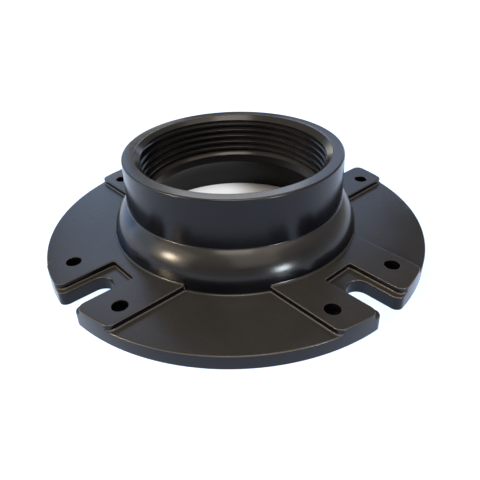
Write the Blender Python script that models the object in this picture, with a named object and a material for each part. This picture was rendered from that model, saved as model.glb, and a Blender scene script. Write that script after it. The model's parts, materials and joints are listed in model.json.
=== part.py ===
"""Threaded floor flange, moulded in one piece from black plastic.

The flange lies on its flat sealing face with the threaded collar up. The origin is the centre of that face,
+Z runs up the collar, and the four bolt slots point along X and Y. Lengths are in metres.
"""

import math

import bmesh
import bpy
from mathutils import Vector

MM = 0.001

# Disc, measured at the sealing face: its rim draws in towards the collar side
DISC_RADIUS = 89.15 * MM
DISC_THICKNESS = 6.3 * MM
RIM_DRAFT = math.radians(1.6)

# Raised pads on the collar side of the disc, one round each bolt slot
SLOT_COUNT = 4
PAD_RISE = 2.7 * MM
PAD_WIDTH = 53.6 * MM
PAD_CORNER_RADIUS = 3.5 * MM

# Bolt slots, open at the rim, and the pocket round each one that holds the bolt's head from turning
SLOT_WIDTH = 11.0 * MM
SLOT_MOUTH_RADIUS = 3.0 * MM
SLOT_END_LEDGE = 5.8 * MM
POCKET_LEDGE = 2.5 * MM
POCKET_HUB_GAP = 5.4 * MM
POCKET_CORNER_RADIUS = 1.0 * MM
POCKET_MOUTH_RADIUS = 3.5 * MM

# Screw holes, two on each pad, sunk on the sealing face for flat heads
HOLE_RIM_DISTANCE = 11.0 * MM
HOLE_SPACING = 39.0 * MM
HOLE_DIAMETER = 6.4 * MM
COUNTERSINK_DIAMETER = 11.6 * MM
COUNTERSINK_ANGLE = math.radians(82)

# Collar for 3 inch pipe, and its taper pipe thread, 8 to the inch: one right-hand groove that starts in the
# lead-in and ends on the stop for the pipe
COLLAR_HEIGHT = 44.5 * MM
PIPE_RADIUS = 44.45 * MM
LEAD_IN = 2.54 * MM
THREAD_LENGTH = 17.2 * MM
THREAD_TAPER = 1 / 32
THREAD_PITCH = 3.175 * MM
THREAD_CREST_WIDTH = 1.0 * MM
THREAD_FLANK_ANGLE = math.radians(30)
THREAD_START_RISE = 0.16 * MM
THREAD_START_AZIMUTH = math.radians(227.5)
THREAD_START_SWEEP = math.radians(26)
RIM_WIDTH = 5.15 * MM
RIM_EDGE_RADIUS = 0.8 * MM
COLLAR_DRAFT = math.radians(1.8)

# Dome that carries the collar on the disc
SHOULDER_HEIGHT = 23.2 * MM
DOME_SWELL = 7.1 * MM
DOME_RADIUS = 20.0 * MM
FOOT_RADIUS = 0.8 * MM

# Waterway below the thread: a stop for the pipe, a plain land, and a bell mouth on the sealing face
STOP_WIDTH = 1.1 * MM
LAND_LENGTH = 3.8 * MM
MOUTH_WALL = 5.4 * MM
MOUTH_EDGE_RADIUS = 0.8 * MM

# How far a cutter runs past the faces that it opens, and the thread's cutter past its crests and its stop
CUTTER_OVERRUN = 2.0 * MM
GROOVE_OVERRUN = 0.3 * MM
STOP_OVERRUN = 0.06 * MM

# Points closer together than this, in metres, are one point
SAME_POINT = 1e-6

# Fineness of the facets
TURN_STEPS = 96
BORE_STEPS = 72
LEDGE_RIM_STEPS = 1
PAD_RIM_STEPS = 3
OPEN_RIM_STEPS = 10
CORNER_STEPS = 5
SLOT_END_STEPS = 8
DOME_STEPS = 8
FOOT_STEPS = 3
BELL_STEPS = 8
EDGE_STEPS = 3
HOLE_STEPS = 24
SMOOTH_ANGLE = math.radians(32)

# Sizes that follow from those above
COLLAR_RADIUS = PIPE_RADIUS + RIM_WIDTH
LEAD_IN_END = COLLAR_HEIGHT - LEAD_IN
CREST_RADIUS = PIPE_RADIUS - LEAD_IN
THREAD_END = LEAD_IN_END - THREAD_LENGTH
SHOULDER_RADIUS = COLLAR_RADIUS + (COLLAR_HEIGHT - SHOULDER_HEIGHT) * math.tan(COLLAR_DRAFT)
HUB_RADIUS = SHOULDER_RADIUS + DOME_SWELL
DOME_CENTRE_RADIUS = HUB_RADIUS - DOME_RADIUS
DOME_CENTRE_DROP = math.sqrt(DOME_RADIUS**2 - (SHOULDER_RADIUS - DOME_CENTRE_RADIUS) ** 2)
DOME_CENTRE_HEIGHT = SHOULDER_HEIGHT - DOME_CENTRE_DROP
MOUTH_RADIUS = HUB_RADIUS - MOUTH_WALL
POCKET_END = HUB_RADIUS + POCKET_HUB_GAP
SLOT_END = POCKET_END + SLOT_END_LEDGE
POCKET_WIDTH = SLOT_WIDTH + 2 * POCKET_LEDGE
HOLE_DISTANCE = math.sqrt((DISC_RADIUS - HOLE_RIM_DISTANCE) ** 2 - (HOLE_SPACING / 2) ** 2)
PAD_TOP = DISC_THICKNESS + PAD_RISE


def arc(centre, radius, start, end, steps):
    """The points of an arc from one angle to another, with both ends."""
    points = []
    for step in range(steps + 1):
        angle = start + (end - start) * step / steps
        points.append((centre[0] + radius * math.cos(angle), centre[1] + radius * math.sin(angle)))
    return points


def joined(*runs):
    """Runs of points as one line, without a point that repeats the one before it."""
    points = []
    for point in [point for run in runs for point in run]:
        if not points or math.dist(point, points[-1]) > SAME_POINT:
            points.append(point)
    return points


def rim_radius(height):
    """The radius of the drafted rim at a height."""
    return DISC_RADIUS - height * math.tan(RIM_DRAFT)


def rim_corner(wall, radius, side, rim):
    """Rounds the corner where a wall parallel to a slot runs out to the rim.

    The wall is at a distance from the slot's axis. The solid lies beyond it if side is 1, and before it if
    side is -1. Returns the points from wall to rim, and the angle at which the round meets the rim.
    """
    across = wall + side * radius
    along = math.sqrt((rim - radius) ** 2 - across**2)
    rim_angle = math.atan2(across, along)
    return arc((along, across), radius, -side * math.pi / 2, rim_angle, CORNER_STEPS), rim_angle


def mirrored(points):
    """The same points on the other side of the slot's axis, in reverse order."""
    return [(x, -y) for x, y in reversed(points)]


def turned_to_slot(points, slot):
    """The points moved round the flange to another of its slots."""
    angle = math.tau * slot / SLOT_COUNT
    cosine, sine = math.cos(angle), math.sin(angle)
    return [(x * cosine - y * sine, x * sine + y * cosine) for x, y in points]


def pad_corners(rim):
    """The rounded corners of a pad at its pocket's mouth and at its side, each with its angle on the rim."""
    pocket_corner = rim_corner(POCKET_WIDTH / 2, POCKET_MOUTH_RADIUS, 1, rim)
    side_corner = rim_corner(PAD_WIDTH / 2, PAD_CORNER_RADIUS, -1, rim)
    return pocket_corner, side_corner


def disc_outline(height):
    """The disc in plan at a height, with its slots open at the rim."""
    rim = rim_radius(height)
    slot_corner, slot_angle = rim_corner(SLOT_WIDTH / 2, SLOT_MOUTH_RADIUS, 1, rim)
    (_, pocket_angle), (_, side_angle) = pad_corners(rim)
    end_radius = min(SLOT_WIDTH / 2, slot_corner[0][0] - SLOT_END)
    end_centre = (SLOT_END + end_radius, SLOT_WIDTH / 2 - end_radius)
    half = joined(
        arc(end_centre, end_radius, math.pi, math.pi / 2, SLOT_END_STEPS),
        slot_corner,
        arc((0, 0), rim, slot_angle, pocket_angle, LEDGE_RIM_STEPS),
        arc((0, 0), rim, pocket_angle, side_angle, PAD_RIM_STEPS),
        arc((0, 0), rim, side_angle, math.pi / SLOT_COUNT, OPEN_RIM_STEPS),
    )
    sector = joined(mirrored(half), half)
    return joined(*[turned_to_slot(sector[1:], slot) for slot in range(SLOT_COUNT)])


def pad_outline(height):
    """A pad in plan at a height: it wraps round its pocket, and its inner side is buried in the hub."""
    rim = rim_radius(height)
    (pocket_corner, pocket_angle), (side_corner, side_angle) = pad_corners(rim)
    inner_corner_centre = (POCKET_END + POCKET_CORNER_RADIUS, POCKET_WIDTH / 2 - POCKET_CORNER_RADIUS)
    buried_radius = HUB_RADIUS - MOUTH_WALL / 2
    buried_angle = math.asin(PAD_WIDTH / 2 / buried_radius)
    half = joined(
        arc(inner_corner_centre, POCKET_CORNER_RADIUS, math.pi, math.pi / 2, CORNER_STEPS),
        pocket_corner,
        arc((0, 0), rim, pocket_angle, side_angle, PAD_RIM_STEPS),
        reversed(side_corner),
        [(buried_radius * math.cos(buried_angle), PAD_WIDTH / 2)],
    )
    return joined(mirrored(half), half)


def foot_fillet(level):
    """The fillet between a flat level and the dome, as radius and height, and its angle on the dome."""
    reach = DOME_RADIUS + FOOT_RADIUS
    rise = max(0, level + FOOT_RADIUS - DOME_CENTRE_HEIGHT)
    touch = math.asin(rise / reach)
    centre = (DOME_CENTRE_RADIUS + reach * math.cos(touch), level + FOOT_RADIUS)
    return arc(centre, FOOT_RADIUS, 1.5 * math.pi, math.pi + touch, FOOT_STEPS), touch


def hub_profile():
    """The outside of dome and collar as radius and height, from inside the disc up to the collar's rim."""
    fillet, dome_start = foot_fillet(DISC_THICKNESS)
    shoulder_angle = math.acos((SHOULDER_RADIUS - DOME_CENTRE_RADIUS) / DOME_RADIUS)
    edge_centre = (COLLAR_RADIUS - RIM_EDGE_RADIUS, COLLAR_HEIGHT - RIM_EDGE_RADIUS)
    return joined(
        [(0, DISC_THICKNESS / 2), (fillet[0][0], DISC_THICKNESS / 2)],
        fillet,
        arc((DOME_CENTRE_RADIUS, DOME_CENTRE_HEIGHT), DOME_RADIUS, dome_start, shoulder_angle, DOME_STEPS),
        arc(edge_centre, RIM_EDGE_RADIUS, 0, math.pi / 2, EDGE_STEPS),
        [(0, COLLAR_HEIGHT)],
    )


def pad_foot_profile():
    """The fillet between dome and pads as radius and height, on a core that is buried in the dome."""
    fillet, _ = foot_fillet(PAD_TOP)
    core_low = PAD_TOP - PAD_RISE / 2
    return joined([(0, core_low), (fillet[0][0], core_low)], fillet, [(0, fillet[-1][1])])


def bore_profile():
    """The waterway, from the sealing face up past the thread's crests to the collar's rim, as radius and height."""
    crest_end_radius = CREST_RADIUS - THREAD_LENGTH * THREAD_TAPER
    land_radius = crest_end_radius - STOP_WIDTH
    land_top = THREAD_END - STOP_WIDTH
    bell_top = land_top - LAND_LENGTH
    bell_radius = MOUTH_RADIUS - land_radius
    edge_centre = (MOUTH_RADIUS + MOUTH_EDGE_RADIUS, MOUTH_EDGE_RADIUS)
    profile = [(0, -CUTTER_OVERRUN), (edge_centre[0], -CUTTER_OVERRUN)]
    profile += arc(edge_centre, MOUTH_EDGE_RADIUS, -math.pi / 2, -math.pi, EDGE_STEPS)
    profile += arc((land_radius, bell_top - bell_radius), bell_radius, 0, math.pi / 2, BELL_STEPS)
    profile += [(land_radius, land_top), (crest_end_radius, THREAD_END), (CREST_RADIUS, LEAD_IN_END)]
    profile += [(PIPE_RADIUS + CUTTER_OVERRUN, COLLAR_HEIGHT + CUTTER_OVERRUN)]
    return profile + [(0, COLLAR_HEIGHT + CUTTER_OVERRUN)]


def groove_section(step):
    """The thread's groove at a step round its winding: a V whose point lies in the wall, as three points."""
    turned_by = math.tau * step / BORE_STEPS
    height = LEAD_IN_END + THREAD_START_RISE - THREAD_PITCH * step / BORE_STEPS
    slope = math.tan(THREAD_FLANK_ANGLE)
    half_opening = (THREAD_PITCH - THREAD_CREST_WIDTH) / 2
    depth = half_opening / slope
    crest = CREST_RADIUS - (LEAD_IN_END - height) * THREAD_TAPER
    point = crest + depth * min(1, turned_by / THREAD_START_SWEEP)
    inner = point - depth - GROOVE_OVERRUN
    half_width = half_opening + GROOVE_OVERRUN * slope
    azimuth = THREAD_START_AZIMUTH - turned_by
    outward = Vector((math.cos(azimuth), math.sin(azimuth), 0))
    section = ((inner, height - half_width), (point, height), (inner, height + half_width))
    return [outward * radius + Vector((0, 0, level)) for radius, level in section]


def screw_hole_profile():
    """A screw hole with its countersink, from below the sealing face to above the pad."""
    shank_radius = HOLE_DIAMETER / 2
    slope = math.tan(COUNTERSINK_ANGLE / 2)
    head_radius = COUNTERSINK_DIAMETER / 2 + CUTTER_OVERRUN * slope
    sink_depth = (COUNTERSINK_DIAMETER / 2 - shank_radius) / slope
    top = PAD_TOP + CUTTER_OVERRUN
    countersink = [(0, -CUTTER_OVERRUN), (head_radius, -CUTTER_OVERRUN), (shank_radius, sink_depth)]
    return countersink + [(shank_radius, top), (0, top)]


def add_block(mesh, low_outline, low, high_outline, high):
    """Adds a solid to the mesh between an outline at one height and the same outline, drafted, at another."""
    low_verts = [mesh.verts.new((x, y, low)) for x, y in low_outline]
    high_verts = [mesh.verts.new((x, y, high)) for x, y in high_outline]
    mesh.faces.new(reversed(low_verts))
    mesh.faces.new(high_verts)
    for index, corner in enumerate(low_verts):
        mesh.faces.new((low_verts[index - 1], corner, high_verts[index], high_verts[index - 1]))


def add_turned(mesh, profile, steps, place=(0, 0)):
    """Adds a profile of radius and height to the mesh, turned round a vertical axis at a place in plan."""
    centre = Vector((*place, 0))
    verts = [mesh.verts.new(centre + Vector((radius, 0, height))) for radius, height in profile]
    edges = [mesh.edges.new(pair) for pair in zip(verts, verts[1:])]
    bmesh.ops.spin(
        mesh, geom=verts + edges, cent=centre, axis=(0, 0, 1), angle=math.tau, steps=steps, use_merge=True
    )
    poles = [vert for vert in mesh.verts if (vert.co.xy - centre.xy).length < SAME_POINT]
    bmesh.ops.remove_doubles(mesh, verts=poles, dist=SAME_POINT)


def add_winding(mesh, sections):
    """Adds a solid to the mesh through a row of sections, closed at both ends."""
    rings = [[mesh.verts.new(corner) for corner in section] for section in sections]
    mesh.faces.new(rings[0])
    mesh.faces.new(reversed(rings[-1]))
    for near, far in zip(rings, rings[1:]):
        for index, corner in enumerate(near):
            mesh.faces.new((near[index - 1], corner, far[index], far[index - 1]))


def object_from(mesh, name):
    """Makes an object of the mesh, with its faces pointing out."""
    bmesh.ops.recalc_face_normals(mesh, faces=mesh.faces)
    data = bpy.data.meshes.new(name)
    mesh.to_mesh(data)
    mesh.free()
    made = bpy.data.objects.new(name, data)
    bpy.context.scene.collection.objects.link(made)
    return made


def disc():
    """The slotted disc."""
    mesh = bmesh.new()
    add_block(mesh, disc_outline(0), 0, disc_outline(DISC_THICKNESS), DISC_THICKNESS)
    return object_from(mesh, "floor_flange")


def pad_blocks(top):
    """Solids with the plan of the pads, which stand on the disc round its slots and reach up to a height."""
    mesh = bmesh.new()
    for slot in range(SLOT_COUNT):
        low_outline = turned_to_slot(pad_outline(DISC_THICKNESS), slot)
        high_outline = turned_to_slot(pad_outline(top), slot)
        add_block(mesh, low_outline, DISC_THICKNESS, high_outline, top)
    return object_from(mesh, "pads")


def pad_feet():
    """The fillets between dome and pads: a turned one, kept only where there are pads."""
    mesh = bmesh.new()
    add_turned(mesh, pad_foot_profile(), TURN_STEPS)
    feet = object_from(mesh, "pad_feet")
    combine(feet, pad_blocks(PAD_TOP + CUTTER_OVERRUN), "INTERSECT")
    return feet


def hub():
    """Dome and collar, solid until the waterway is cut."""
    mesh = bmesh.new()
    add_turned(mesh, hub_profile(), TURN_STEPS)
    return object_from(mesh, "hub")


def waterway():
    """The cutter for the bore at the thread's crests, its land and its bell mouth."""
    mesh = bmesh.new()
    add_turned(mesh, bore_profile(), BORE_STEPS)
    return object_from(mesh, "waterway")


def thread():
    """The cutter for the thread: its groove winds down past the stop, and is cut off level with it."""
    fall = LEAD_IN_END + THREAD_START_RISE - THREAD_END + THREAD_PITCH
    mesh = bmesh.new()
    add_winding(mesh, [groove_section(step) for step in range(math.ceil(BORE_STEPS * fall / THREAD_PITCH))])
    bmesh.ops.triangulate(mesh, faces=mesh.faces)
    level = Vector((0, 0, THREAD_END - STOP_OVERRUN))
    geometry = [*mesh.verts, *mesh.edges, *mesh.faces]
    bmesh.ops.bisect_plane(mesh, geom=geometry, plane_co=level, plane_no=(0, 0, 1), clear_inner=True)
    bmesh.ops.holes_fill(mesh, edges=[edge for edge in mesh.edges if edge.is_boundary])
    return object_from(mesh, "thread")


def screw_holes():
    """The cutters for the screw holes, a pair on each pad."""
    mesh = bmesh.new()
    pair = [(HOLE_DISTANCE, -HOLE_SPACING / 2), (HOLE_DISTANCE, HOLE_SPACING / 2)]
    for slot in range(SLOT_COUNT):
        for place in turned_to_slot(pair, slot):
            add_turned(mesh, screw_hole_profile(), HOLE_STEPS, place)
    return object_from(mesh, "screw_holes")


def combine(body, other, operation):
    """Joins another solid to the body or cuts it away, and removes that solid from the scene."""
    modifier = body.modifiers.new(other.name, "BOOLEAN")
    modifier.operation = operation
    modifier.solver = "EXACT"
    modifier.object = other
    graph = bpy.context.evaluated_depsgraph_get()
    result = bpy.data.meshes.new_from_object(body.evaluated_get(graph))
    body.modifiers.clear()
    body.data = result
    bpy.data.objects.remove(other)


def black_plastic():
    """Black moulded plastic with a satin gloss."""
    material = bpy.data.materials.new("black_plastic")
    material.use_nodes = True
    shader = material.node_tree.nodes["Principled BSDF"]
    shader.inputs["Base Color"].default_value = (0.014, 0.014, 0.017, 1)
    shader.inputs["Roughness"].default_value = 0.3
    shader.inputs["Metallic"].default_value = 0.0
    return material


def floor_flange():
    """The whole flange as one solid."""
    body = disc()
    combine(body, pad_blocks(PAD_TOP), "UNION")
    combine(body, hub(), "UNION")
    combine(body, pad_feet(), "UNION")
    combine(body, waterway(), "DIFFERENCE")
    combine(body, thread(), "DIFFERENCE")
    combine(body, screw_holes(), "DIFFERENCE")
    body.data.name = body.name
    body.data.materials.clear()
    body.data.materials.append(black_plastic())
    body.data.shade_smooth()
    body.data.set_sharp_from_angle(angle=SMOOTH_ANGLE)
    return body


def main():
    for leftover in list(bpy.data.objects):
        bpy.data.objects.remove(leftover)
    floor_flange()


main()
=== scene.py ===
"""The looks of a threaded floor flange, moulded in one piece from black plastic.

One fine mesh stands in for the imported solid: a slotted disc, four raised pads with bolt-head pockets, a
dome that carries a collar, and a taper pipe thread in its bore. Lengths are in metres. The flange lies on its
sealing face with the collar up, the origin is the centre of that face, and the four bolt slots point along X
and Y. Points that are given for a round of size 1 count outwards and up from the sharp edge.
"""

import json
import logging
import math
import sys
from abc import ABC, abstractmethod
from collections.abc import Callable, Iterator, Sequence
from contextlib import contextmanager
from dataclasses import dataclass
from enum import Enum

import bmesh
import bpy
from mathutils import Matrix, Vector

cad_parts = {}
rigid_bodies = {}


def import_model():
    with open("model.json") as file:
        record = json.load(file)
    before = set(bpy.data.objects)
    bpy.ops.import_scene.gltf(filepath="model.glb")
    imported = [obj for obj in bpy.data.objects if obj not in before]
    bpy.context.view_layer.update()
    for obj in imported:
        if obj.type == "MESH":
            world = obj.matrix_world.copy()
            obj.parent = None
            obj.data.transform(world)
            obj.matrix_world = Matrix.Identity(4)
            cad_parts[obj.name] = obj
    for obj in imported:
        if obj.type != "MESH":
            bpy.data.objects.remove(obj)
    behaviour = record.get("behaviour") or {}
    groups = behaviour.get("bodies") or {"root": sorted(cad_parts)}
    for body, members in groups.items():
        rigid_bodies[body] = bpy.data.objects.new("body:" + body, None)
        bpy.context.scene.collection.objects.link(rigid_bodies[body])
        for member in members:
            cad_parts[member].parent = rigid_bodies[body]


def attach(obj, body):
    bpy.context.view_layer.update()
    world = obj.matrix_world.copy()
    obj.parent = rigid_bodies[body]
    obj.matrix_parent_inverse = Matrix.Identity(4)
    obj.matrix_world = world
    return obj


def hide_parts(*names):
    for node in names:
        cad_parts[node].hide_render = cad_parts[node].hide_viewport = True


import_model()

LOG = logging.getLogger("floor_flange")

MM = 0.001
Point = tuple[float, float]
Profile = list[Point]
Span = tuple[float, float]
Colour = tuple[float, float, float]

# The CAD node that the fine mesh stands in for, and the record's name for its body
FLANGE_NODE = "floor_flange"
FLANGE_BODY = "root"

# Fineness: facets of a full turn, of a screw hole, and of a rounded edge
TURN_STEPS = 240
HOLE_STEPS = 48
EDGE_STEPS = 3
SLOT_COUNT = 4

# How far a solid stops short of another's face, in plan and in height: no two faces lie in one plane
BURIED = 0.005 * MM
SINK = 0.02 * MM

# How far a cutter runs past the faces that it opens, and where a channel's cutter ends outside the rim
OVERRUN = 2.0 * MM
OUTSIDE = 100 * MM

# Slivers thinner than this are dissolved once all the solids are joined and cut
SLIVER = 0.0004 * MM

# A face looks up if its normal's height is more than this
LOOKS_UP = 0.9


class Cut(Enum):
    """What a Boolean does with its second solid."""

    ADD = "UNION"
    TAKE = "DIFFERENCE"
    KEEP = "INTERSECT"


# ---------------------------------------------------------------- modelling by hand


def choose(piece: bpy.types.Object) -> None:
    """Makes a piece the only one that is selected, and the active one.

    Args:
        piece: The object to select.
    """
    for other in bpy.context.view_layer.objects:
        other.select_set(False)
    piece.select_set(True)
    bpy.context.view_layer.objects.active = piece


def fresh(name: str, scale: Sequence[float] = (1.0, 1.0, 1.0)) -> bpy.types.Object:
    """Names the primitive that was just added and applies its place, turn and size.

    Args:
        name: The name that the piece gets.
        scale: The size of a primitive that was added one metre wide.

    Returns:
        The piece, with its place in its mesh.
    """
    piece = bpy.context.view_layer.objects.active
    piece.name = name
    piece.scale = scale
    choose(piece)
    bpy.ops.object.transform_apply(location=True, rotation=True, scale=True)
    return piece


@contextmanager
def editing(piece: bpy.types.Object, kind: str = "FACE") -> Iterator[None]:
    """Opens a piece in edit mode with nothing selected, and closes it again.

    Args:
        piece: The mesh object to edit.
        kind: What is selected there: VERT, EDGE or FACE.

    Yields:
        Nothing: the block runs in edit mode.
    """
    choose(piece)
    bpy.ops.object.mode_set(mode="EDIT")
    bpy.ops.mesh.select_mode(type=kind)
    bpy.ops.mesh.select_all(action="DESELECT")
    try:
        yield
    finally:
        bpy.ops.object.mode_set(mode="OBJECT")


def pick_verts(piece: bpy.types.Object, wanted: Callable[[Vector], bool]) -> None:
    """Selects the vertices whose place passes a test, in edit mode.

    Args:
        piece: The piece that is being edited.
        wanted: Tells from a vertex's place whether it is selected.
    """
    mesh = bmesh.from_edit_mesh(piece.data)
    for vert in mesh.verts:
        if wanted(vert.co):
            vert.select_set(True)
    mesh.select_flush_mode()
    bmesh.update_edit_mesh(piece.data)


def pick_edges(piece: bpy.types.Object, wanted: Callable[[Vector, Vector], bool]) -> None:
    """Selects the edges whose two ends pass a test, in edit mode.

    Args:
        piece: The piece that is being edited.
        wanted: Tells from an edge's two ends whether it is selected.
    """
    mesh = bmesh.from_edit_mesh(piece.data)
    for edge in mesh.edges:
        if wanted(edge.verts[0].co, edge.verts[1].co):
            edge.select_set(True)
    bmesh.update_edit_mesh(piece.data)


def pick_faces(piece: bpy.types.Object, wanted: Callable[[Vector, Vector], bool]) -> None:
    """Selects the faces whose centre and normal pass a test, in edit mode.

    Args:
        piece: The piece that is being edited.
        wanted: Tells from a face's centre and normal whether it is selected.
    """
    mesh = bmesh.from_edit_mesh(piece.data)
    for face in mesh.faces:
        if wanted(face.calc_center_median(), face.normal):
            face.select_set(True)
    bmesh.update_edit_mesh(piece.data)


def face_outwards(piece: bpy.types.Object) -> None:
    """Turns all faces of a closed mesh outwards."""
    with editing(piece):
        bpy.ops.mesh.select_all(action="SELECT")
        bpy.ops.mesh.normals_make_consistent(inside=False)


def turned(name: str, profile: Profile, steps: int, place: Point = (0.0, 0.0)) -> bpy.types.Object:
    """Turns a closed solid about an upright axis: a disc that is drawn on from ring to ring.

    Args:
        name: The name of the solid.
        profile: Radius and height of each ring, from the first end face to the last.
        steps: The number of facets round the axis.
        place: Where the axis stands in plan.

    Returns:
        The solid.
    """
    (radius, height), *rings = profile
    bpy.ops.mesh.primitive_circle_add(
        vertices=steps, radius=radius, fill_type="NGON", location=(*place, height)
    )
    solid = fresh(name)
    with editing(solid):
        bpy.ops.mesh.select_all(action="SELECT")
        for ring_radius, ring_height in rings:
            bpy.ops.mesh.extrude_region_move(
                TRANSFORM_OT_translate={"value": (0.0, 0.0, ring_height - height)}
            )
            ratio = ring_radius / radius
            bpy.ops.transform.resize(value=(ratio, ratio, 1.0), center_override=(*place, ring_height))
            radius, height = ring_radius, ring_height
    face_outwards(solid)
    return solid


def block(name: str, low: Sequence[float], high: Sequence[float]) -> bpy.types.Object:
    """Adds a block between its lowest and its highest corner.

    Args:
        name: The name of the block.
        low: Its lowest corner.
        high: Its highest corner.

    Returns:
        The block.
    """
    middle = [(a + b) / 2 for a, b in zip(low, high)]
    size = [b - a for a, b in zip(low, high)]
    bpy.ops.mesh.primitive_cube_add(size=1.0, location=middle)
    return fresh(name, size)


def combine(body: bpy.types.Object, tool: bpy.types.Object, how: Cut) -> None:
    """Joins another solid to the body or cuts with it, and removes that solid.

    Args:
        body: The solid that is changed.
        tool: The solid that it is joined to or cut with.
        how: What the Boolean does.
    """
    choose(body)
    modifier = body.modifiers.new(tool.name, "BOOLEAN")
    modifier.operation = how.value
    modifier.solver = "EXACT"
    modifier.object = tool
    bpy.ops.object.modifier_apply(modifier=modifier.name)
    bpy.data.objects.remove(tool)


def copied(piece: bpy.types.Object) -> bpy.types.Object:
    """A copy of a piece, with its own mesh.

    Args:
        piece: The piece to copy.

    Returns:
        The copy.
    """
    copy = piece.copy()
    copy.data = piece.data.copy()
    bpy.context.scene.collection.objects.link(copy)
    return copy


def joined(piece: bpy.types.Object, *others: bpy.types.Object) -> bpy.types.Object:
    """Puts the meshes of other pieces into the first one's, and removes those pieces.

    Args:
        piece: The piece that takes up the others.
        others: The pieces that it takes up.

    Returns:
        The first piece.
    """
    choose(piece)
    for other in others:
        other.select_set(True)
    bpy.ops.object.join()
    return piece


def round_the_flange(piece: bpy.types.Object) -> bpy.types.Object:
    """Copies what was modelled for the slot on +X to the other slots, and joins the copies to it.

    Args:
        piece: What was modelled for the slot on +X.

    Returns:
        The same piece, with its copies in it.
    """
    copies = [copied(piece) for _ in range(1, SLOT_COUNT)]
    for slot, copy in enumerate(copies, 1):
        copy.data.transform(Matrix.Rotation(math.tau * slot / SLOT_COUNT, 4, "Z"))
    return joined(piece, *copies)


def trim(solid: bpy.types.Object, inner_end: float, half: float) -> None:
    """Cuts a solid down to a strip along +X.

    Args:
        solid: The solid to cut.
        inner_end: How far from the Z axis the strip starts.
        half: Half the strip's width.
    """
    sides = (((inner_end, 0, 0), (1, 0, 0)), ((0, -half, 0), (0, 1, 0)), ((0, half, 0), (0, -1, 0)))
    with editing(solid):
        for place, inward in sides:
            bpy.ops.mesh.select_all(action="SELECT")
            bpy.ops.mesh.bisect(plane_co=place, plane_no=inward, use_fill=True, clear_inner=True)


def round_level(piece: bpy.types.Object, level: float, size: float) -> None:
    """Rounds every edge of a piece that lies at one height.

    Args:
        piece: The piece to round.
        level: The height of the edges.
        size: The size of the round.
    """
    with editing(piece, "EDGE"):
        pick_edges(piece, lambda a, b: abs(a.z - level) < SINK and abs(b.z - level) < SINK)
        bpy.ops.mesh.bevel(offset=size, segments=EDGE_STEPS, affect="EDGES", clamp_overlap=False)


def arc(centre: Point, radius: float, start: float, end: float, steps: int) -> Profile:
    """The points of an arc from one angle to another, with both ends."""
    angles = [start + (end - start) * step / steps for step in range(steps + 1)]
    return [(centre[0] + radius * math.cos(a), centre[1] + radius * math.sin(a)) for a in angles]


def rounded(edge: Point, size: float, points: Sequence[Point]) -> Profile:
    """The points of the round at a sharp edge, from points that are given for a round of size 1."""
    return [(edge[0] + out * size, edge[1] + up * size) for out, up in points]


# ---------------------------------------------------------------- the parts of the moulding


@dataclass(frozen=True)
class Rim:
    """The drafted rim that disc and pads share."""

    radius: float = 89.15 * MM
    draft: float = math.radians(1.6)

    def at(self, height: float) -> float:
        """The rim's radius at a height."""
        return self.radius - height * math.tan(self.draft)

    def cylinder(self, name: str, low: float, high: float, grow: float) -> bpy.types.Object:
        """A drafted cylinder that follows the rim.

        Args:
            name: The name of the solid.
            low: The height of its foot.
            high: The height of its top.
            grow: How far it stands outside the rim.

        Returns:
            The cylinder.
        """
        low_radius = self.at(low) + grow
        bpy.ops.mesh.primitive_cylinder_add(
            vertices=TURN_STEPS, radius=low_radius, depth=high - low, location=(0.0, 0.0, (low + high) / 2)
        )
        solid = fresh(name)
        ratio = (self.at(high) + grow) / low_radius
        with editing(solid, "VERT"):
            pick_verts(solid, lambda co: co.z > (low + high) / 2)
            bpy.ops.transform.resize(value=(ratio, ratio, 1.0), center_override=(0.0, 0.0, high))
        return solid


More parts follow.
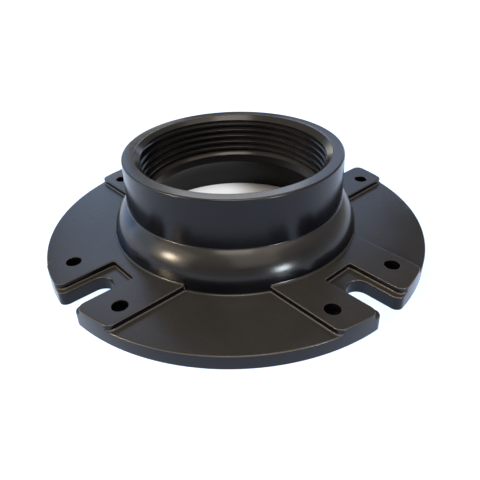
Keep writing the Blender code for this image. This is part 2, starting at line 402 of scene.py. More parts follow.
@dataclass(frozen=True)
class RimCorner:
    """A rounded corner where a wall that runs along X comes out to the rim.

    The wall is at a distance from the X axis. The solid lies beyond it if side is 1, and before it if -1.
    """

    wall: float
    radius: float
    side: int
    steps: int = 9
    reach: float = 2.6 * MM

    def centre(self, rim: float) -> Vector:
        """The centre of the round for a rim radius, in plan."""
        across = self.wall + self.side * self.radius
        return Vector((math.sqrt((rim - self.radius) ** 2 - across**2), across, 0.0))

    def cutter(self, name: str, rim: Rim, low: float, high: float, grow: float) -> bpy.types.Object:
        """What lies outside the round: a rectangle that is spun about the round's centre.

        Args:
            name: The name of the cutter.
            rim: The rim that the round runs out on.
            low: The height of its foot.
            high: The height of its top.
            grow: How far the solid stands outside its named outline.

        Returns:
            The cutter for the corner on the +Y side.
        """
        foot, top = self.centre(rim.at(low)), self.centre(rim.at(high))
        start = -self.side * math.pi / 2
        sweep = math.atan2(foot.y, foot.x) - start
        inner = self.radius + grow
        radial = Vector((math.cos(start), math.sin(start), 0.0))
        middle = foot + radial * (inner + self.reach / 2) + Vector((0.0, 0.0, (low + high) / 2))
        bpy.ops.mesh.primitive_plane_add(size=1.0, location=middle, rotation=(math.pi / 2, 0.0, start))
        solid = fresh(name, (self.reach, high - low, 1.0))
        with editing(solid, "VERT"):
            bpy.ops.mesh.select_all(action="SELECT")
            bpy.ops.mesh.spin(steps=self.steps, angle=-sweep, center=foot, axis=(0.0, 0.0, 1.0))
            bpy.ops.mesh.select_all(action="DESELECT")
            pick_verts(solid, lambda co: co.z > (low + high) / 2)
            bpy.ops.transform.translate(value=top - foot)
        face_outwards(solid)
        return solid

    def cutters(self, name: str, rim: Rim, low: float, high: float, grow: float) -> bpy.types.Object:
        """The cutters for the corner and for its mirror image on the other side of the slot.

        Args:
            name: The name of the cutters.
            rim: The rim that the rounds run out on.
            low: The height of their foot.
            high: The height of their top.
            grow: How far the solid stands outside its named outline.

        Returns:
            Both cutters as one object.
        """
        near = self.cutter(name, rim, low, high, grow)
        far = copied(near)
        with editing(far):
            bpy.ops.mesh.select_all(action="SELECT")
            bpy.ops.transform.mirror(
                constraint_axis=(False, True, False), orient_type="GLOBAL", center_override=(0.0, 0.0, 0.0)
            )
        face_outwards(far)
        return joined(near, far)


@dataclass(frozen=True)
class Channel:
    """A channel along X that is open at the rim, with its two inner corners rounded."""

    width: float
    end: float
    end_round: float
    round_steps: int

    def cutter(self, name: str, low: float, high: float, grow: float) -> bpy.types.Object:
        """The channel's void, made narrower where the solid round it has grown.

        Args:
            name: The name of the cutter.
            low: The height of its foot.
            high: The height of its top.
            grow: How far the solid stands outside its named outline.

        Returns:
            The cutter for the slot on +X.
        """
        half, end = self.width / 2 - grow, self.end + grow
        void = block(name, (end, -half, low), (OUTSIDE, half, high))
        with editing(void, "EDGE"):
            # The upright edges at the channel's end
            pick_edges(void, lambda a, b: max(a.x, b.x) < end + SINK and abs(a.z - b.z) > SINK)
            bpy.ops.mesh.bevel(
                offset=self.end_round - grow, segments=self.round_steps, affect="EDGES", clamp_overlap=False
            )
        return void


@dataclass(frozen=True)
class SlottedDisc:
    """The flat disc with its four bolt slots, open at the rim."""

    rim: Rim
    thickness: float = 6.3 * MM
    top_round: float = 0.55 * MM
    foot_round: float = 0.3 * MM
    slot: Channel = Channel(11.0 * MM, 68.57 * MM, 5.45 * MM, 12)
    mouth: RimCorner = RimCorner(5.5 * MM, 3.0 * MM, 1)

    def build(self) -> bpy.types.Object:
        """Makes the disc, with its top and foot edges rounded all along the rim and the slots.

        Returns:
            The disc.
        """
        disc = self.rim.cylinder("moulded_flange", 0.0, self.thickness, 0.0)
        low, high = -OVERRUN, self.thickness + OVERRUN
        combine(disc, round_the_flange(self.slot.cutter("slots", low, high, 0.0)), Cut.TAKE)
        combine(disc, round_the_flange(self.mouth.cutters("mouths", self.rim, low, high, 0.0)), Cut.TAKE)
        for level, size in ((self.thickness, self.top_round), (0.0, self.foot_round)):
            round_level(disc, level, size)
        return disc


@dataclass(frozen=True)
class BoltPad:
    """The raised pad round a bolt slot, with the pocket that holds the bolt's head from turning."""

    rim: Rim
    floor: float = 6.3 * MM
    top: float = 9.0 * MM
    width: float = 53.6 * MM
    inner_end: float = 46.0 * MM
    buried_depth: float = 5.6 * MM
    top_round: float = 0.5 * MM
    foot_round: float = 0.7 * MM
    foot_steps: int = 4
    pocket: Channel = Channel(16.0 * MM, 62.77 * MM, 1.0 * MM, 5)
    side_corner: RimCorner = RimCorner(26.8 * MM, 3.5 * MM, -1)
    pocket_corner: RimCorner = RimCorner(8.0 * MM, 3.5 * MM, 1)

    def outline(self, name: str, low: float, high: float, grow: float) -> bpy.types.Object:
        """A solid with the pad's plan.

        Args:
            name: The name of the solid.
            low: The height of its foot.
            high: The height of its top.
            grow: How far it stands outside the pad's own outline.

        Returns:
            The solid for the slot on +X.
        """
        solid = self.rim.cylinder(name, low, high, grow - BURIED)
        trim(solid, self.inner_end, self.width / 2 + grow)
        low, high = low - OVERRUN, high + OVERRUN
        combine(solid, self.pocket.cutter("pocket", low, high, grow), Cut.TAKE)
        for corner, called in ((self.side_corner, "side_corners"), (self.pocket_corner, "pocket_corners")):
            combine(solid, corner.cutters(called, self.rim, low, high, grow), Cut.TAKE)
        return solid

    def build(self) -> bpy.types.Object:
        """Makes the four pads, their top edges rounded and their feet buried in the disc.

        Returns:
            The pads as one object.
        """
        pad = self.outline("pads", self.floor - self.buried_depth, self.top, 0.0)
        round_level(pad, self.top, self.top_round)
        return round_the_flange(pad)

    def feet(self) -> bpy.types.Object:
        """Makes the small fillets between the pads' walls and the disc, cut off flush with the rim.

        Returns:
            The fillets as one object.
        """
        size = self.foot_round
        foot = self.outline("pad_feet", self.floor - size, self.floor - SINK, size)
        angles = [math.pi / 2 * step / self.foot_steps for step in range(self.foot_steps + 1)]
        rounds = [(size * (1 - math.sin(angle)), size * (1 - math.cos(angle))) for angle in angles]
        with editing(foot):
            pick_faces(foot, lambda centre, normal: normal.z > LOOKS_UP)
            for (wide, low), (narrow, high) in zip(rounds, rounds[1:]):
                bpy.ops.mesh.inset(thickness=wide - narrow, depth=high - low, use_even_offset=True)
            # One step more, so that the fillet ends inside the pad and not on its wall
            bpy.ops.mesh.inset(thickness=size / 2, depth=size / 8, use_even_offset=True)
        combine(foot, self.rim.cylinder("rim", self.floor - 2 * size, self.top, -2 * BURIED), Cut.KEEP)
        return round_the_flange(foot)


@dataclass(frozen=True)
class Hub:
    """The dome and the collar that it carries, with the fillets where they meet and where they stand."""

    collar_radius: float = 49.6 * MM
    collar_height: float = 44.5 * MM
    collar_draft: float = math.radians(1.8)
    rim_round: float = 0.8 * MM
    shoulder_height: float = 23.2 * MM
    shoulder_round: float = 0.9 * MM
    shoulder_steps: int = 6
    dome_swell: float = 7.1 * MM
    dome_radius: float = 20.0 * MM
    dome_steps: int = 20
    foot_round: float = 0.9 * MM
    foot_steps: int = 4
    core_radius: float = 30 * MM
    foot_core_radius: float = 40 * MM
    foot_depth: float = 1.0 * MM
    halvings: int = 60

    @property
    def shoulder_radius(self) -> float:
        """Where the collar's wall meets the dome."""
        wall = self.collar_height - self.shoulder_height
        return self.collar_radius + wall * math.tan(self.collar_draft)

    @property
    def dome_centre(self) -> Point:
        """The centre of the dome's section, as radius and height."""
        radius = self.shoulder_radius + self.dome_swell - self.dome_radius
        drop = math.sqrt(self.dome_radius**2 - (self.shoulder_radius - radius) ** 2)
        return radius, self.shoulder_height - drop

    def foot(self, level: float) -> tuple[Profile, float]:
        """The fillet between a flat level and the dome, and the angle at which it meets the dome.

        Args:
            level: The height of the flat level.

        Returns:
            The fillet's points from the level up, and the angle.
        """
        reach = self.dome_radius + self.foot_round
        centre_radius, centre_height = self.dome_centre
        touch = math.asin(max(0.0, level + self.foot_round - centre_height) / reach)
        centre = (centre_radius + reach * math.cos(touch), level + self.foot_round)
        points = arc(centre, self.foot_round, 1.5 * math.pi, math.pi + touch, self.foot_steps)
        return [(points[0][0], level - SINK), *points[1:]], touch

    def shoulder(self) -> tuple[Profile, float]:
        """The fillet between dome and collar, and the angle at which the dome ends in it.

        Returns:
            The fillet's points from the dome up, and the angle.
        """
        size = self.shoulder_round
        centre_radius, centre_height = self.dome_centre
        slope = math.tan(self.collar_draft)

        def gap(angle: float) -> float:
            """How far the fillet's centre is from its place beside the collar's wall.

            Args:
                angle: Where the centre is, round the dome's centre.

            Returns:
                The gap, positive outside that place.
            """
            radius = centre_radius + (self.dome_radius + size) * math.cos(angle)
            height = centre_height + (self.dome_radius + size) * math.sin(angle)
            wall = self.collar_radius + (self.collar_height - height) * slope
            return (radius - wall) * math.cos(self.collar_draft) - size

        low, high = 0.0, math.pi / 2
        for _ in range(self.halvings):
            middle = (low + high) / 2
            low, high = (middle, high) if gap(middle) > 0 else (low, middle)
        centre = (
            centre_radius + (self.dome_radius + size) * math.cos(low),
            centre_height + (self.dome_radius + size) * math.sin(low),
        )
        return arc(centre, size, math.pi + low, math.pi + self.collar_draft, self.shoulder_steps), low

    def build(self, disc: SlottedDisc) -> bpy.types.Object:
        """Makes dome and collar as one solid on the disc, to be bored later.

        Args:
            disc: The disc that the hub stands on.

        Returns:
            The hub.
        """
        foot, start = self.foot(disc.thickness)
        shoulder, end = self.shoulder()
        edge = (self.collar_radius - self.rim_round, self.collar_height - self.rim_round)
        dome = arc(self.dome_centre, self.dome_radius, start, end, self.dome_steps)
        rim = arc(edge, self.rim_round, 0.0, math.pi / 2, EDGE_STEPS + 1)
        inside = (self.core_radius, self.collar_height)
        profile = [(foot[0][0], disc.thickness / 2), *foot, *dome[1:-1], *shoulder, *rim, inside]
        return turned("hub", profile, TURN_STEPS)

    def feet_on(self, pad: BoltPad) -> bpy.types.Object:
        """Makes the fillets between the dome and the pads.

        Args:
            pad: The pad that the fillet stands on.

        Returns:
            Four lengths of fillet, each on a core that is buried in dome and pad.
        """
        foot, _ = self.foot(pad.top)
        under, over = (foot[0][0], pad.top - self.foot_depth), (self.foot_core_radius, foot[-1][1])
        ring = turned("dome_feet", [under, *foot, over], TURN_STEPS)
        trim(ring, self.core_radius, pad.width / 2 - pad.top_round / 2)
        return round_the_flange(ring)


@dataclass(frozen=True)
class Waterway:
    """The bore: a lead-in, the thread's crests, a stop for the pipe, a plain land and a bell mouth."""

    collar_height: float = 44.5 * MM
    major_radius: float = 44.45 * MM
    lead_in: float = 2.54 * MM
    thread_length: float = 17.2 * MM
    taper: float = 1 / 32
    stop_width: float = 1.1 * MM
    land_length: float = 3.8 * MM
    mouth_radius: float = 51.97 * MM
    bell_steps: int = 14
    edge_round: float = 0.8 * MM
    edge_steps: int = 4
    lead_in_round: float = 0.35 * MM
    lead_in_points: tuple[Point, ...] = ((-0.7, -0.7), (0.1, -0.2), (1.0, 0.05))

    @property
    def crest_radius(self) -> float:
        """The bore at the thread's first crest."""
        return self.major_radius - self.lead_in

    @property
    def lead_end(self) -> float:
        """The height at which the lead-in meets the thread's crests."""
        return self.collar_height - self.lead_in

    @property
    def thread_end(self) -> float:
        """The height of the stop for the pipe."""
        return self.lead_end - self.thread_length

    def build(self) -> bpy.types.Object:
        """Makes the cutter for the whole waterway.

        Returns:
            The cutter.
        """
        lead_end, thread_end = self.lead_end, self.thread_end
        crest_end = self.crest_radius - self.thread_length * self.taper
        land_radius, land_top = crest_end - self.stop_width, thread_end - self.stop_width
        bell_top = land_top - self.land_length
        bell = self.mouth_radius - land_radius
        edge = (self.mouth_radius + self.edge_round, self.edge_round)
        profile = [(edge[0], -OVERRUN)]
        profile += arc(edge, self.edge_round, -math.pi / 2, -math.pi, self.edge_steps)
        profile += arc((land_radius, bell_top - bell), bell, 0.0, math.pi / 2, self.bell_steps)
        profile += [(land_radius, land_top), (crest_end, thread_end), (self.crest_radius, lead_end)]
        top = (self.major_radius, self.collar_height)
        profile += rounded(top, self.lead_in_round, self.lead_in_points)
        profile.append((profile[-1][0], self.collar_height + OVERRUN))
        return turned("waterway", profile, TURN_STEPS)


@dataclass(frozen=True)
class PipeThread:
    """The right-hand taper pipe thread, cut as one groove that runs from the lead-in down into the stop."""

    bore: Waterway
    pitch: float = 3.175 * MM
    crest_width: float = 1.0 * MM
    crest_round: float = 0.12 * MM
    crest_points: tuple[Point, ...] = ((-2.0, 1.4), (-1 / 6, 1.0), (0.3, 0.25), (1.1, -0.63))
    root_width: float = 0.25 * MM
    flank: float = math.radians(30)
    first_azimuth: float = math.radians(227.5)
    first_rise: float = 0.16 * MM
    turns: float = 5.8
    fade_in: float = math.radians(26)
    stop_overrun: float = 0.06 * MM

    def section(self) -> Profile:
        """The groove's section, as depth behind the crests and height, from lower to upper shoulder.

        Returns:
            The section's corners.
        """
        half = (self.pitch - self.crest_width) / 2
        root = self.root_width / 2
        upper = rounded((0.0, half), self.crest_round, self.crest_points)
        upper.append(((half - root) / math.tan(self.flank), root))
        return [*[(depth, -height) for depth, height in upper], *reversed(upper)]

    def build(self) -> bpy.types.Object:
        """Makes the groove's cutter: its section drawn point by point and wound up by a Screw.

        Returns:
            The cutter.
        """
        section = self.section()
        points = [Vector((self.bore.crest_radius + depth, 0.0, height)) for depth, height in section]
        bpy.ops.mesh.primitive_plane_add(size=MM, location=points[0])
        groove = fresh("thread")
        with editing(groove, "VERT"):
            bpy.ops.mesh.select_all(action="SELECT")
            bpy.ops.mesh.merge(type="CENTER")
            for near, far in zip(points, points[1:]):
                bpy.ops.mesh.extrude_vertices_move(TRANSFORM_OT_translate={"value": far - near})
            bpy.ops.mesh.select_all(action="SELECT")
            bpy.ops.mesh.edge_face_add()
            bpy.ops.mesh.delete(type="ONLY_FACE")
        choose(groove)
        screw = groove.modifiers.new("winding", "SCREW")
        screw.angle = -math.tau * self.turns
        screw.screw_offset = -self.pitch * self.turns
        screw.steps = screw.render_steps = round(TURN_STEPS * self.turns)
        screw.use_merge_vertices = False
        bpy.ops.object.modifier_apply(modifier=screw.name)
        self.set_rings(groove, len(section))
        with editing(groove, "EDGE"):
            bpy.ops.mesh.select_all(action="SELECT")
            bpy.ops.mesh.fill_holes(sides=0)
            bpy.ops.mesh.quads_convert_to_tris()
        face_outwards(groove)
        return groove

    def set_rings(self, groove: bpy.types.Object, corners: int) -> None:
        """Sets each ring to the taper, lets the groove rise out of the lead-in, and ends it on the stop.

        No operator tapers a winding, so this is done by code.

        Args:
            groove: The wound section, open at both ends.
            corners: The number of corners of the section.
        """
        deepest = max(depth for depth, _ in self.section())
        for vert in groove.data.vertices:
            turned_by = math.tau * (vert.index // corners) / TURN_STEPS
            dropped = self.pitch * turned_by / math.tau
            centre = self.bore.lead_end + self.first_rise - dropped
            share = min(1.0, turned_by / self.fade_in)
            retreat = (1 - share * share * (3 - 2 * share)) * deepest
            depth, rise = vert.co.xy.length - self.bore.crest_radius, vert.co.z + dropped
            height = max(centre + rise, self.bore.thread_end - self.stop_overrun)
            crest = self.bore.crest_radius - (self.bore.lead_end - centre) * self.bore.taper
            azimuth = self.first_azimuth - turned_by
            radius = crest + depth - retreat
            vert.co = (radius * math.cos(azimuth), radius * math.sin(azimuth), height)


@dataclass(frozen=True)
class ScrewHoles:
    """The screw holes, two on each pad, sunk on the sealing face for flat heads."""

    distance: float = 75.68 * MM
    spacing: float = 39.0 * MM
    diameter: float = 6.4 * MM
    top: float = 9.0 * MM
    top_round: float = 0.3 * MM
    top_points: tuple[Point, ...] = ((0.0, -1.0), (0.29, -0.29), (1.0, 0.02))
    sink_diameter: float = 11.6 * MM
    sink_angle: float = math.radians(82)

    def build(self) -> bpy.types.Object:
        """Makes the cutters for all eight holes.

        Returns:
            The cutters as one object.
        """
        shank = self.diameter / 2
        slope = math.tan(self.sink_angle / 2)
        head = self.sink_diameter / 2
        profile = [(head + OVERRUN * slope, -OVERRUN), (shank, (head - shank) / slope)]
        profile += rounded((shank, self.top), self.top_round, self.top_points)
        profile.append((profile[-1][0], self.top + OVERRUN))
        near = turned("screw_holes", profile, HOLE_STEPS, (self.distance, self.spacing / 2))
        far = turned("far_hole", profile, HOLE_STEPS, (self.distance, -self.spacing / 2))
        return round_the_flange(joined(near, far))


# ---------------------------------------------------------------- node trees


class Value:
    """One output of a node, on which Python's arithmetic adds Math nodes."""

    def __init__(self, graph: "Graph", socket: bpy.types.NodeSocket) -> None:
        """Wraps an output of a graph's node."""
        self.graph = graph
        self.socket = socket

    def math(self, operation: str, *others: "Value | float") -> "Value":
        """Adds a Math node that works on this value.

        Args:
            operation: The node's operation.
            others: What else it works on, in its sockets' order.

        Returns:
            The node's result.
        """
        sockets = dict(enumerate((self, *others)))
        return self.graph.value("ShaderNodeMath", {"operation": operation}, sockets)

    def __add__(self, other: "Value | float") -> "Value":
        """This value plus another."""
        return self.math("ADD", other)

    def __radd__(self, other: float) -> "Value":
        """A number plus this value."""
        return self + other

    def __sub__(self, other: "Value | float") -> "Value":
        """This value less another."""
        return self.math("SUBTRACT", other)

    def __rsub__(self, other: float) -> "Value":
        """A number less this value."""
        return (self - other) * -1.0

    def __mul__(self, other: "Value | float") -> "Value":
        """This value times another."""
        return self.math("MULTIPLY", other)

    def __rmul__(self, other: float) -> "Value":
        """A number times this value."""
        return self * other

    def over(self, span: Span) -> "Value":
        """Goes smoothly from 0 at a span's first number to 1 at its second, which may be the smaller.

        Args:
            span: The two numbers.

        Returns:
            The mask.
        """
        first, second = span
        ends = (first, second, 0.0, 1.0) if first < second else (second, first, 1.0, 0.0)
        sockets = {0: self, **dict(enumerate(ends, 1))}
        return self.graph.value("ShaderNodeMapRange", {"interpolation_type": "SMOOTHSTEP"}, sockets)

    def part(self, axis: str) -> "Value":
        """One part of a vector: X, Y or Z."""
        return self.graph.value("ShaderNodeSeparateXYZ", {}, {0: self}, axis)


Given = Value | float | Sequence[float]
Settings = dict[str, object]
Sockets = dict[str | int, Given]


class Graph:
    """The node tree of a material or of the world."""

    def __init__(self, tree: bpy.types.NodeTree) -> None:
        """Takes over a tree and empties it."""
        self.tree = tree
        tree.nodes.clear()

    def add(self, kind: str, settings: Settings, sockets: Sockets) -> bpy.types.Node:
        """Adds any node.

        Args:
            kind: The node's type.
            settings: Its own settings, which are made first.
            sockets: The values or links of its inputs, by name or by number.

        Returns:
            The node.
        """
        node = self.tree.nodes.new(kind)
        for name, setting in settings.items():
            setattr(node, name, setting)
        for name, given in sockets.items():
            if isinstance(given, Value):
                self.tree.links.new(given.socket, node.inputs[name])
            else:
                node.inputs[name].default_value = given
        return node

    def value(self, kind: str, settings: Settings, sockets: Sockets, output: str | int = 0) -> Value:
        """Adds any node and wraps one of its outputs."""
        return Value(self, self.add(kind, settings, sockets).outputs[output])

    def place(self) -> Value:
        """Where a point of the piece is, in metres."""
        return self.value("ShaderNodeTexCoord", {}, {}, "Object")

    def off_axis(self, place: Value) -> Value:
        """How far a place is from the Z axis, in metres.

        Args:
            place: The place.

        Returns:
            The distance.
        """
        settings, flat = {"operation": "MULTIPLY"}, (1.0, 1.0, 0.0)
        level = self.value("ShaderNodeVectorMath", settings, {0: place, 1: flat})
        return self.value("ShaderNodeVectorMath", {"operation": "LENGTH"}, {0: level}, "Value")

    def noise(self, place: Value, size: float, detail: float, roughness: float = 0.5) -> Value:
        """Soft noise from 0 to 1.

        Args:
            place: Where it is read.
            size: The width of its blotches, in metres.
            detail: The number of finer layers in it.
            roughness: How strong the finer layers are.

        Returns:
            The noise.
        """
        sockets = {"Vector": place, "Scale": 1 / size, "Detail": detail, "Roughness": roughness}
        return self.value("ShaderNodeTexNoise", {"noise_dimensions": "3D"}, sockets, "Fac")

    def mix(self, share: Value, first: Value | Colour, second: Value | Colour) -> Value:
        """Mixes two colours: the first where the share is 0, the second where it is 1.

        Args:
            share: The share of the second colour.
            first: The first colour.
            second: The second colour.

        Returns:
            The mixed colour.
        """
        sockets = {"Factor": share}
        for number, colour in ((6, first), (7, second)):
            sockets[number] = colour if isinstance(colour, Value) else (*colour, 1.0)
        return self.value("ShaderNodeMix", {"data_type": "RGBA"}, sockets, 2)


# ---------------------------------------------------------------- finishes


@dataclass(frozen=True)
class Finish(ABC):
    """A finish that covers a piece all over.

    A span in it says where a mask starts and where it is full.
    """

    name: str

    @abstractmethod
    def skin(self, graph: Graph) -> Sockets:
        """What the surface's sockets get.

        Args:
            graph: The material's graph.

        Returns:
            The sockets' values or links, by name.
        """

    def dress(self, piece: bpy.types.Object) -> None:
        """Makes the finish and gives it to a piece.

        Args:
            piece: The piece that gets it.
        """
        material = bpy.data.materials.new(self.name)
        material.use_nodes = True
        graph = Graph(material.node_tree)
        surface = graph.value("ShaderNodeBsdfPrincipled", {}, self.skin(graph))
        graph.add("ShaderNodeOutputMaterial", {}, {"Surface": surface})
        piece.data.materials.clear()
        piece.data.materials.append(material)


@dataclass(frozen=True)
class BlackPlastic(Finish):
    """Black moulded plastic with a satin skin: cloudy gloss, faint orange peel, fine grain and a little dust.

    The mould's texture leaves the tops of disc and pads duller and grainier than the hub. A warm painted light
    from above lies on whatever looks up, dimmed in the thread as painted shade; a painted highlight makes the
    rounds along the outer edges of disc and pads lighter; and the walls and the bore keep the plastic's own
    bluish black.
    """

    name: str = "satin_black_plastic"
    deep: Colour = (0.0020, 0.0019, 0.0030)
    # Painted light from above: the warm lighter colour of faces that look up, plain and in clouds
    painted_top_light: Colour = (0.0228, 0.0214, 0.0202)
    cloudy_painted_top_light: Colour = (0.0280, 0.0263, 0.0248)
    # Painted highlight: the lighter colour on the rounds and fillets along the outer edges
    painted_highlight_colour: Colour = (0.050, 0.044, 0.038)
    dust_colour: Colour = (0.17, 0.155, 0.14)
    roughness: float = 0.17
    cloud_roughness: float = 0.05
    textured_roughness: float = 0.06
    dust_roughness: float = 0.30
    specular: float = 0.25
    ior: float = 1.5
    textured_below: Span = (9.8 * MM, 9.2 * MM)
    textured_level: Span = (0.9, 0.98)
    painted_top_light_level: Span = (0.1, 0.9)
    thread_inside: Span = (44.5 * MM, 44.4 * MM)
    thread_below: Span = (41.9 * MM, 41.6 * MM)
    thread_above: Span = (25.0 * MM, 25.2 * MM)
    # How far the painted light from above is dimmed in the thread, as painted shade
    thread_painted_shade: float = 0.55
    painted_highlight_beyond: Span = (57.7 * MM, 58.0 * MM)
    painted_highlight_above: Span = (5.2 * MM, 5.5 * MM)
    painted_highlight_off_wall: Span = (0.15, 0.45)
    painted_highlight_off_level: Span = (0.985, 0.90)
    cloud_size: float = 26 * MM
    cloud_span: Span = (0.3, 0.7)
    peel_size: float = 2.4 * MM
    peel_depth: float = 0.0030 * MM
    grain_size: float = 0.32 * MM
    grain_depth: float = 0.0011 * MM
    plain_grain: float = 0.4
    dust_cell: float = 5.0 * MM
    dust_radius: float = 0.17 * MM
    dust_chance: Span = (0.62, 0.78)
    dust_level: Span = (0.75, 0.95)

    def upward(self, graph: Graph) -> Value:
        """How far a face looks up: 1 where it is level, 0 on a wall, and less than 0 below."""
        return graph.value("ShaderNodeNewGeometry", {}, {}, "Normal").part("Z")

    def dust(self, graph: Graph, place: Value) -> Value:
        """Specks of dust: one in a few cells, on faces that look up.

        Args:
            graph: The material's graph.
            place: Where the specks are read.

        Returns:
            1 on a speck and 0 beside it.
        """
        cells = {"Vector": place, "Scale": 1 / self.dust_cell, "Randomness": 1.0}
        kind = "ShaderNodeTexVoronoi"
        away = graph.value(kind, {"feature": "F1"}, cells, "Distance")
        pick = graph.value(kind, {"feature": "F1"}, cells, "Color")
        chance = graph.value("ShaderNodeSeparateColor", {}, {0: pick}, 0)
        radius = self.dust_radius / self.dust_cell
        speck = away.over((radius, radius / 2)) * chance.over(self.dust_chance)
        return speck * self.upward(graph).over(self.dust_level)

    def threaded(self, graph: Graph, place: Value) -> Value:
        """1 in the thread, where the painted light from above is dimmed as painted shade, and 0 elsewhere.

        Args:
            graph: The material's graph.
            place: Where the mask is read.

        Returns:
            The mask.
        """
        height = place.part("Z")
        inside = graph.off_axis(place).over(self.thread_inside)
        return inside * height.over(self.thread_below) * height.over(self.thread_above)

    def painted_highlight(self, graph: Graph, place: Value) -> Value:
        """1 on the rounds and fillets along the outer edges of disc and pads, where a lighter colour is
        painted as a highlight.

        Args:
            graph: The material's graph.
            place: Where the mask is read.

        Returns:
            The mask.
        """
        upward = self.upward(graph)
        slanted = upward.over(self.painted_highlight_off_wall) * upward.over(self.painted_highlight_off_level)
        outside = graph.off_axis(place).over(self.painted_highlight_beyond)
        return slanted * outside * place.part("Z").over(self.painted_highlight_above)

    def textured(self, graph: Graph, place: Value) -> Value:
        """1 on the flat tops of disc and pads, which the mould's texture dulls, and 0 elsewhere."""
        return place.part("Z").over(self.textured_below) * self.upward(graph).over(self.textured_level)

    def skin(self, graph: Graph) -> Sockets:
        """The plastic's colour, gloss and relief.

        Args:
            graph: The material's graph.

        Returns:
            The sockets' values or links, by name.
        """
        place = graph.place()
        textured = self.textured(graph, place)
        clouds = graph.noise(place, self.cloud_size, 3.0, 0.55).over(self.cloud_span)
        dust = self.dust(graph, place)
        # Painted light from above: faces that look up get the warm lighter colour
        painted_top_light = graph.mix(clouds, self.painted_top_light, self.cloudy_painted_top_light)
        # Painted shade in the thread: less of the painted light from above
        clear_of_thread_shade = 1 - self.thread_painted_shade * self.threaded(graph, place)
        plastic = graph.mix(self.upward(graph).over(self.painted_top_light_level) * clear_of_thread_shade, self.deep, painted_top_light)
        # Painted highlight on the rounds and fillets along the outer edges of disc and pads
        plastic = graph.mix(self.painted_highlight(graph, place), plastic, self.painted_highlight_colour)
        roughness = self.roughness + self.cloud_roughness * clouds
        roughness = roughness + self.textured_roughness * textured + self.dust_roughness * dust
        peel = graph.noise(place, self.peel_size, 1.0)
        grain = graph.noise(place, self.grain_size, 2.0, 0.6)
        height = self.peel_depth * peel + self.grain_depth * grain * (self.plain_grain + textured)
        relief = {"Strength": 1.0, "Distance": 1.0, "Height": height}
        return {
            "Base Color": graph.mix(dust, plastic, self.dust_colour),
            "Roughness": roughness,
            "Normal": graph.value("ShaderNodeBump", {}, relief),
            "Specular IOR Level": self.specular,
            "IOR": self.ior,
        }


@dataclass(frozen=True)
class StudioPaper(Finish):
    """The pale matt paper that the flange lies on.

    It glows softly round the flange and in the slots, as paper that is photographed white, and more evenly
    far away. A patch of painted light glows on it below the bore.
    """

    name: str = "pale_paper"
    colour: Colour = (0.48, 0.48, 0.48)
    tooth: Colour = (0.47, 0.47, 0.47)
    tooth_size: float = 3.0 * MM
    roughness: float = 0.9
    shade: Colour = (0.0, 0.0, 0.0)
    glow: Colour = (0.54, 0.74, 1.10)
    glow_beyond: Span = (84 * MM, 90 * MM)
    far_glow: Colour = (0.96, 1.00, 1.10)
    far_beyond: Span = (200 * MM, 600 * MM)
    slot_beyond: Span = (60 * MM, 68 * MM)
    slot_width: Span = (11 * MM, 6 * MM)
    # Painted light: the glowing patch below the bore
    patch: Colour = (0.52, 0.55, 0.57)
    patch_place: tuple[float, float, float] = (-38 * MM, 16 * MM, 0.0)
    patch_width: Span = (29 * MM, 8 * MM)

    def lit(self, place: Value, off_axis: Value) -> Value:
        """1 round the flange and in its slots, and 0 below it.

        Args:
            place: Where the mask is read.
            off_axis: How far that is from the Z axis.

        Returns:
            The mask.
        """
        off_slot = place.part("X").math("ABSOLUTE").math("MINIMUM", place.part("Y").math("ABSOLUTE"))
        in_slot = off_slot.over(self.slot_width) * off_axis.over(self.slot_beyond)
        return off_axis.over(self.glow_beyond).math("MAXIMUM", in_slot)

    def skin(self, graph: Graph) -> Sockets:
        """The paper's tooth, its glow and the painted patch of light.

        Args:
            graph: The material's graph.

        Returns:
            The sockets' values or links, by name.
        """
        place = graph.place()
        off_axis = graph.off_axis(place)
        ends = {0: place, 1: self.patch_place}
        off_patch = graph.value("ShaderNodeVectorMath", {"operation": "DISTANCE"}, ends, "Value")
        below = graph.mix(off_patch.over(self.patch_width), self.shade, self.patch)
        around = graph.mix(off_axis.over(self.far_beyond), self.glow, self.far_glow)
        return {
            "Base Color": graph.mix(graph.noise(place, self.tooth_size, 2.0), self.colour, self.tooth),
            "Roughness": self.roughness,
            "Specular IOR Level": 0.0,
            "Emission Color": graph.mix(self.lit(place, off_axis), below, around),
            "Emission Strength": 1.0,
        }


# ---------------------------------------------------------------- the moulding as a whole


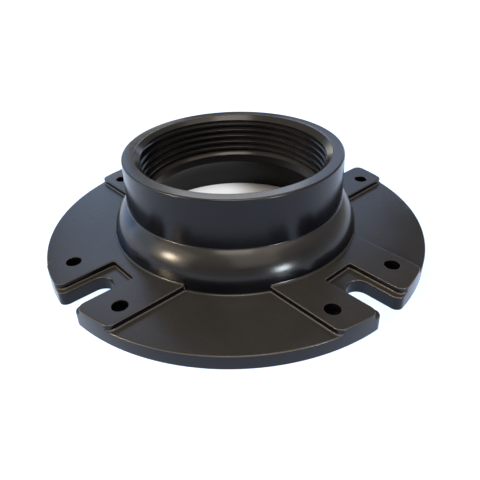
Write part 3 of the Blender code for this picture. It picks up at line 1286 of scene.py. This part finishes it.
@dataclass(frozen=True)
class FloorFlange:
    """The flange, moulded in one piece: disc, pads and hub, with the waterway, thread and screw holes."""

    disc: SlottedDisc
    pad: BoltPad
    hub: Hub
    waterway: Waterway
    thread: PipeThread
    screw_holes: ScrewHoles
    plastic: BlackPlastic
    sharp_angle: float = math.radians(35)
    flatness: int = 100

    def build(self) -> bpy.types.Object:
        """Joins and cuts the solids, and reports each.

        Returns:
            The moulding as one closed mesh.
        """
        flange = self.disc.build()
        LOG.info("disc: %d faces", len(flange.data.polygons))
        grown = (self.pad.build(), self.pad.feet(), self.hub.build(self.disc), self.hub.feet_on(self.pad))
        cut = (self.waterway.build(), self.screw_holes.build(), self.thread.build())
        for solids, how in ((grown, Cut.ADD), (cut, Cut.TAKE)):
            for solid in solids:
                LOG.info("%s: %d faces", solid.name, len(solid.data.polygons))
                combine(flange, solid, how)
        with editing(flange, "EDGE"):
            bpy.ops.mesh.select_all(action="SELECT")
            bpy.ops.mesh.dissolve_degenerate(threshold=SLIVER)
        LOG.info("flange: %d faces", len(flange.data.polygons))
        return flange

    def dress(self, flange: bpy.types.Object) -> None:
        """Shades flat faces flat and rounds smooth, gives the plastic, and puts the flange in the frame.

        Args:
            flange: The moulding.
        """
        choose(flange)
        bpy.ops.object.shade_smooth_by_angle(angle=self.sharp_angle)
        level = flange.modifiers.new("flat_faces", "WEIGHTED_NORMAL")
        level.keep_sharp = True
        level.weight = self.flatness
        bpy.ops.object.modifier_apply(modifier=level.name)
        self.plastic.dress(flange)
        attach(flange, FLANGE_BODY)
        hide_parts(FLANGE_NODE)


# ---------------------------------------------------------------- the setting

# How far the camera stands round the flange from the -Y axis, in degrees
CAMERA_AZIMUTH = 49.379


@dataclass(frozen=True)
class PhotoCamera:
    """The camera, as for the photograph: round the flange, up, and then turned a little in place."""

    distance: float = 234.02 * MM
    azimuth: float = math.radians(CAMERA_AZIMUTH)
    elevation: float = math.radians(32.4767)
    pan: float = math.radians(-0.46114)
    tilt: float = math.radians(-1.20663)
    roll: float = math.radians(2.01891)
    lens_mm: float = 34.87715
    sensor_mm: float = 36.0
    near_clip: float = 10 * MM
    far_clip: float = 30.0

    def build(self) -> bpy.types.Object:
        """Makes the camera and gives it to the scene.

        Returns:
            The camera.
        """
        bpy.ops.object.camera_add()
        camera = bpy.context.view_layer.objects.active
        camera.data.lens = self.lens_mm
        camera.data.sensor_width = self.sensor_mm
        camera.data.clip_start, camera.data.clip_end = self.near_clip, self.far_clip
        around = Matrix.Rotation(self.azimuth, 4, "Z")
        place = Vector((0.0, -math.cos(self.elevation), math.sin(self.elevation))) * self.distance
        look = Matrix.Rotation(math.pi / 2 - self.elevation, 4, "X")
        turn = Matrix.Rotation(self.pan, 4, "Y") @ Matrix.Rotation(self.tilt, 4, "X")
        turn = turn @ Matrix.Rotation(-self.roll, 4, "Z")
        camera.matrix_world = around @ Matrix.Translation(place) @ look @ turn
        bpy.context.scene.camera = camera
        return camera


@dataclass(frozen=True)
class SoftBox:
    """A square soft light that faces the flange: its azimuth and elevation are in degrees."""

    name: str
    azimuth: float
    elevation: float
    size: float
    radiance: Colour
    distance: float = 1.5
    aim_height: float = 20 * MM

    def build(self) -> bpy.types.Object:
        """Adds the light: its azimuth counts from the camera's, and its radiance from white paper's.

        Returns:
            The light.
        """
        azimuth = math.radians(self.azimuth + CAMERA_AZIMUTH - 90.0)
        elevation = math.radians(self.elevation)
        flat = math.cos(elevation)
        towards = Vector((flat * math.cos(azimuth), flat * math.sin(azimuth), math.sin(elevation)))
        bpy.ops.object.light_add(
            type="AREA",
            location=towards * self.distance + Vector((0.0, 0.0, self.aim_height)),
            rotation=towards.to_track_quat("Z", "Y").to_euler(),
        )
        light = bpy.context.view_layer.objects.active
        light.name = self.name
        light.data.shape = "SQUARE"
        light.data.size = self.size
        brightest = max(self.radiance)
        light.data.color = [channel / brightest for channel in self.radiance]
        light.data.energy = math.pi * self.size**2 * brightest
        return light


@dataclass(frozen=True)
class Studio:
    """A pale floor, soft lights round it, and a room that is pale low down and dim above."""

    lights: tuple[SoftBox, ...]
    paper: StudioPaper = StudioPaper()
    floor_size: float = 6.0
    floor_drop: float = 0.1 * MM
    horizon: Colour = (0.55, 0.58, 0.62)
    room: Colour = (0.05, 0.05, 0.06)
    dim_above: Span = (0.08, 0.30)

    def build(self) -> bpy.types.Object:
        """Adds the floor, the lights and the room.

        Returns:
            The floor.
        """
        bpy.ops.mesh.primitive_plane_add(size=self.floor_size, location=(0.0, 0.0, -self.floor_drop))
        floor = fresh("floor")
        for light in self.lights:
            light.build()
            LOG.info("light: %s", light.name)
        world = bpy.data.worlds.new("room")
        world.use_nodes = True
        graph = Graph(world.node_tree)
        upward = graph.value("ShaderNodeTexCoord", {}, {}, "Generated").part("Z")
        colour = graph.mix(upward.over(self.dim_above), self.horizon, self.room)
        background = graph.value("ShaderNodeBackground", {}, {"Color": colour, "Strength": 1.0})
        graph.add("ShaderNodeOutputWorld", {}, {"Surface": background})
        bpy.context.scene.world = world
        bpy.context.scene.view_settings.view_transform = "Standard"
        return floor

    def dress(self, floor: bpy.types.Object) -> None:
        """Gives the floor its paper."""
        self.paper.dress(floor)


STUDIO_LIGHTS = (
    SoftBox("behind", -158.0, 38.0, 0.40, (1.5, 1.9, 2.7)),
    SoftBox("behind_right", 180.0, 36.0, 0.50, (3.6, 3.8, 4.1)),
    SoftBox("high_front", -2.0, 66.0, 0.70, (7.4, 6.7, 6.0)),
    SoftBox("behind_far_right", 165.0, 28.0, 0.40, (0.9, 1.2, 1.8)),
    SoftBox("low_behind", -158.0, 24.0, 0.30, (0.8, 1.3, 2.1)),
    SoftBox("front_right", 18.0, 40.0, 1.00, (1.9, 1.7, 1.4)),
    SoftBox("window_left", -62.0, 20.0, 0.25, (84.0, 70.0, 52.0)),
    SoftBox("window_glare", -62.0, 24.0, 0.90, (2.5, 2.3, 1.8)),
    SoftBox("low_front_right", 38.0, 3.0, 0.28, (52.0, 58.0, 63.0)),
    SoftBox("horizon_behind", -165.0, 10.0, 0.40, (2.0, 2.0, 1.8)),
    SoftBox("high_right", 60.0, 60.0, 0.90, (1.9, 1.6, 1.4)),
    SoftBox("horizon_behind_right", 150.0, 12.0, 0.40, (1.6, 1.9, 2.5)),
    SoftBox("low_left", -95.0, 16.0, 0.90, (0.9, 1.2, 1.6)),
    SoftBox("horizon_left", -122.0, 12.0, 0.80, (0.3, 0.8, 1.7)),
)


def main() -> None:
    """Builds the flange and its setting, and reports each piece."""
    logging.basicConfig(level=logging.INFO, format="%(message)s", stream=sys.stdout)
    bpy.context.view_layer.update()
    rim, bore = Rim(), Waterway()
    moulding = FloorFlange(
        disc=SlottedDisc(rim),
        pad=BoltPad(rim),
        hub=Hub(),
        waterway=bore,
        thread=PipeThread(bore),
        screw_holes=ScrewHoles(),
        plastic=BlackPlastic(),
    )
    flange = moulding.build()
    moulding.dress(flange)
    LOG.info("piece: %s rides on %s", flange.name, FLANGE_BODY)
    studio = Studio(STUDIO_LIGHTS)
    floor = studio.build()
    studio.dress(floor)
    camera = PhotoCamera().build()
    LOG.info("stage: %s, seen by %s", floor.name, camera.name)


if __name__ == "__main__":
    main()
